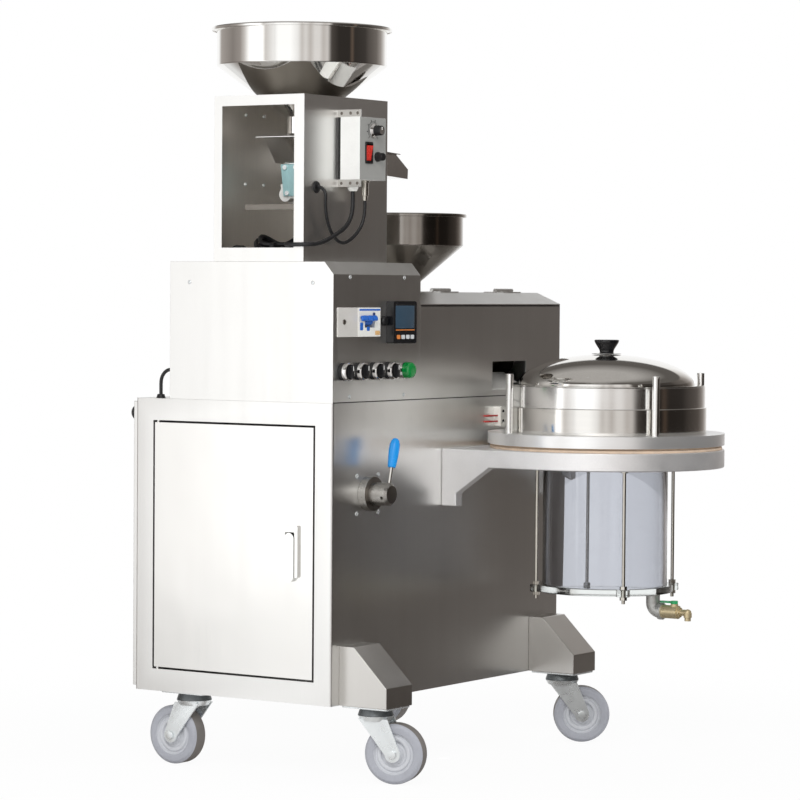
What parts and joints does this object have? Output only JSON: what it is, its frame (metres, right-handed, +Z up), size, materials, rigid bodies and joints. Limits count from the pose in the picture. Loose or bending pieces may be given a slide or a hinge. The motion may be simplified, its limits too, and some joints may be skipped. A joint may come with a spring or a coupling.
{
  "type": "screw oil press",
  "caption": "Stainless screw oil press on a wheeled cabinet, with a vibratory seed feeder, control panel, vacuum filter pot and clear oil tank with a tap.",
  "frame": {"origin": "centre of the footprint on the floor, free cord left out", "axes": "+Z up, +X to the right along the front, -Y out of the control panel"},
  "size_m": [0.765, 0.839, 1.248],
  "materials": {
    "brushed_stainless": "brushed",
    "bright_stainless": "fine brushed",
    "polished_steel": "polished",
    "zinc_plate": "bright zinc",
    "caster_tread": "satin",
    "machined_steel": "machined",
    "blue_grip": "gloss",
    "breaker_white": "matte",
    "toggle_blue": "gloss",
    "black_plastic": "matte",
    "lamp_green": "gloss",
    "painted_white": "satin",
    "rocker_red": "gloss",
    "fitting_grey": "matte",
    "spring_teal": "satin",
    "cast_aluminium": "sand cast",
    "gasket_tan": "matte",
    "clear_tank": "clear",
    "brass": "satin",
    "tap_green": "gloss",
    "machine_grey": "satin",
    "cord_black": "matte"
  },
  "bodies": {
    "frame": {"cabinet_shell": "brushed_stainless", "rear_cover": "brushed_stainless", "front_outriggers": "brushed_stainless", "caster_plates": "zinc_plate", "lever_bearing": "machined_steel", "control_box": "brushed_stainless", "breaker_case": "breaker_white", "temp_controller": "black_plastic", "selector_bezels": "black_plastic", "pilot_lamp": "lamp_green", "feeder_tower": "brushed_stainless", "feeder_controller": "painted_white", "cable_fittings": "fitting_grey", "vibrator_base": "painted_white", "leaf_springs": "spring_teal", "top_hopper": "bright_stainless", "press_housing": "brushed_stainless", "press_hopper": "bright_stainless", "press_barrel": "machined_steel", "gear_motor": "machine_grey", "vacuum_pump": "machine_grey", "filter_bracket": "cast_aluminium", "flange_gasket": "gasket_tan", "filter_flange": "polished_steel", "filter_barrel": "polished_steel", "clear_tank": "clear_tank", "tie_rods": "zinc_plate", "tap_body": "brass", "heater_terminal": "breaker_white", "feeder_cord": "cord_black", "feeder_hank": "cord_black", "feeder_plug": "black_plastic", "vibrator_lead": "cord_black", "rear_lead": "cord_black"},
    "door": {"cabinet_door": "bright_stainless", "door_lock_case": "zinc_plate"},
    "door_lock": {"door_lock_lever": "zinc_plate"},
    "lever": {"lever_hub": "polished_steel", "lever_grip": "blue_grip"},
    "breaker_toggle": {"breaker_toggle": "toggle_blue"},
    "selector_1": {"selector_knob_1": "black_plastic"},
    "selector_2": {"selector_knob_2": "black_plastic"},
    "selector_3": {"selector_knob_3": "black_plastic"},
    "selector_4": {"selector_knob_4": "black_plastic"},
    "dial": {"dial_knob": "black_plastic"},
    "rocker": {"rocker_switch": "rocker_red"},
    "trough": {"feed_trough": "bright_stainless"},
    "press_lid": {"press_lid": "brushed_stainless"},
    "press_screw": {"press_screw": "machined_steel"},
    "filter_lid": {"filter_lid": "polished_steel", "lid_knob": "black_plastic"},
    "tap_handle": {"tap_handle": "tap_green"},
    "caster_1": {"caster_fork_1": "zinc_plate"},
    "wheel_1": {"caster_wheel_1": "caster_tread"},
    "caster_2": {"caster_fork_2": "zinc_plate"},
    "wheel_2": {"caster_wheel_2": "caster_tread"},
    "caster_3": {"caster_fork_3": "zinc_plate"},
    "wheel_3": {"caster_wheel_3": "caster_tread"},
    "caster_4": {"caster_fork_4": "zinc_plate"},
    "wheel_4": {"caster_wheel_4": "caster_tread"}
  },
  "joints": [
    {"name": "door_swing", "type": "hinge", "parent": "frame", "child": "door", "pos_m": [-0.3525, 0.3535, 0.3755], "axis": [0, 0, -1], "range_deg": [0, 100]},
    {"name": "lock_lever_lift", "type": "hinge", "parent": "door", "child": "door_lock", "pos_m": [-0.3601, 0.0735, 0.4], "axis": [0, 1, 0], "range_deg": [0, 50]},
    {"name": "lever_turn", "type": "hinge", "parent": "frame", "child": "lever", "pos_m": [-0.2555, -0.0488, 0.472], "axis": [0, 1, 0], "continuous": true},
    {"name": "breaker_throw", "type": "hinge", "parent": "frame", "child": "breaker_toggle", "pos_m": [-0.2545, 0.0005, 0.756], "axis": [1, 0, 0], "range_deg": [0, 40]},
    {"name": "selector_1_turn", "type": "hinge", "parent": "frame", "child": "selector_1", "pos_m": [-0.3305, -0.0165, 0.675], "axis": [0, 1, 0], "range_deg": [0, 90]},
    {"name": "selector_2_turn", "type": "hinge", "parent": "frame", "child": "selector_2", "pos_m": [-0.2855, -0.0165, 0.675], "axis": [0, 1, 0], "range_deg": [0, 90]},
    {"name": "selector_3_turn", "type": "hinge", "parent": "frame", "child": "selector_3", "pos_m": [-0.2405, -0.0165, 0.675], "axis": [0, 1, 0], "range_deg": [0, 90]},
    {"name": "selector_4_turn", "type": "hinge", "parent": "frame", "child": "selector_4", "pos_m": [-0.1955, -0.0165, 0.675], "axis": [0, 1, 0], "range_deg": [0, 90]},
    {"name": "dial_turn", "type": "hinge", "parent": "frame", "child": "dial", "pos_m": [-0.2195, 0.0095, 1.074], "axis": [0, 1, 0], "range_deg": [-135, 135]},
    {"name": "rocker_press", "type": "hinge", "parent": "frame", "child": "rocker", "pos_m": [-0.2325, 0.0135, 1.037], "axis": [1, 0, 0], "range_deg": [-14, 0]},
    {"name": "trough_shake", "type": "slide", "parent": "frame", "child": "trough", "axis": [0.9866, 0, 0.1633], "range_m": [-0.0005, 0.0005], "stiffness_N_per_m": 50000},
    {"name": "press_lid_open", "type": "hinge", "parent": "frame", "child": "press_lid", "pos_m": [0.135, 0.06065, 0.8096], "axis": [-1, 0, 0], "range_deg": [0, 90]},
    {"name": "screw_turn", "type": "hinge", "parent": "frame", "child": "press_screw", "pos_m": [0.1425, 0.1475, 0.7], "axis": [1, 0, 0], "continuous": true},
    {"name": "filter_lid_lift", "type": "slide", "parent": "frame", "child": "filter_lid", "axis": [0, 0, 1], "range_m": [0, 0.15]},
    {"name": "tap_turn", "type": "hinge", "parent": "frame", "child": "tap_handle", "pos_m": [0.1925, -0.3445, 0.275], "axis": [0, 0, -1], "range_deg": [0, 90]},
    {"name": "caster_1_swivel", "type": "hinge", "parent": "frame", "child": "caster_1", "pos_m": [-0.296, -0.0555, 0.107], "axis": [0, 0, 1], "continuous": true},
    {"name": "wheel_1_roll", "type": "hinge", "parent": "caster_1", "child": "wheel_1", "pos_m": [-0.28635, -0.08914, 0.05], "axis": [0.9613, 0.2756, 0], "continuous": true},
    {"name": "caster_2_swivel", "type": "hinge", "parent": "frame", "child": "caster_2", "pos_m": [0.306, -0.0555, 0.107], "axis": [0, 0, 1], "continuous": true},
    {"name": "wheel_2_roll", "type": "hinge", "parent": "caster_2", "child": "wheel_2", "pos_m": [0.32557, -0.08452, 0.05], "axis": [0.829, 0.5592, 0], "continuous": true},
    {"name": "caster_3_swivel", "type": "hinge", "parent": "frame", "child": "caster_3", "pos_m": [-0.3135, 0.3045, 0.107], "axis": [0, 0, 1], "continuous": true},
    {"name": "wheel_3_roll", "type": "hinge", "parent": "caster_3", "child": "wheel_3", "pos_m": [-0.3135, 0.3395, 0.05], "axis": [-1, 0, 0], "continuous": true},
    {"name": "caster_4_swivel", "type": "hinge", "parent": "frame", "child": "caster_4", "pos_m": [0.3235, 0.3045, 0.107], "axis": [0, 0, 1], "continuous": true},
    {"name": "wheel_4_roll", "type": "hinge", "parent": "caster_4", "child": "wheel_4", "pos_m": [0.3235, 0.3395, 0.05], "axis": [-1, 0, 0], "continuous": true}
  ]
}
